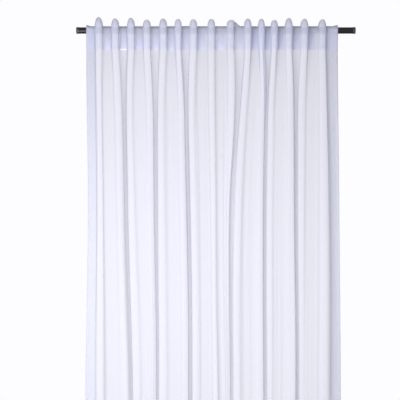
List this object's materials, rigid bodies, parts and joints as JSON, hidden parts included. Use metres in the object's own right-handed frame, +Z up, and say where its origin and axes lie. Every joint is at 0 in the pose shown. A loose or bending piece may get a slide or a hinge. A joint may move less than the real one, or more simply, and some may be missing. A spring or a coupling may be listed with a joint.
{
  "type": "sheer voile curtain on a rod",
  "caption": "Full-length sheer voile panel gathered on a thin dark rod by hidden loops behind its heading, with stand-up finger pleats along the top.",
  "frame": {"origin": "middle of the rod's axis, where a pair of wall brackets holds the rod", "axes": "+X along the rod to the right of someone who faces the curtain, -Y towards that person, +Z up; the cloth hangs down -Z"},
  "size_m": [0.837, 0.0509, 2.4364],
  "materials": {
    "voile": "sheer plain-weave voile, white with a faint blue cast",
    "loop_tape": "opaque white woven tape",
    "rod_metal": "near-black satin lacquer",
    "cap": "satin near-black moulding"
  },
  "bodies": {
    "root": {"panel": "voile", "loop_01": "loop_tape", "loop_02": "loop_tape", "loop_03": "loop_tape", "loop_04": "loop_tape", "loop_05": "loop_tape", "loop_06": "loop_tape", "loop_07": "loop_tape", "loop_08": "loop_tape", "loop_09": "loop_tape", "loop_10": "loop_tape", "loop_11": "loop_tape", "loop_12": "loop_tape", "loop_13": "loop_tape", "loop_14": "loop_tape", "loop_15": "loop_tape", "loop_16": "loop_tape", "rod": "rod_metal", "rod_cap_left": "cap", "rod_cap_right": "cap"}
  },
  "joints": []
}
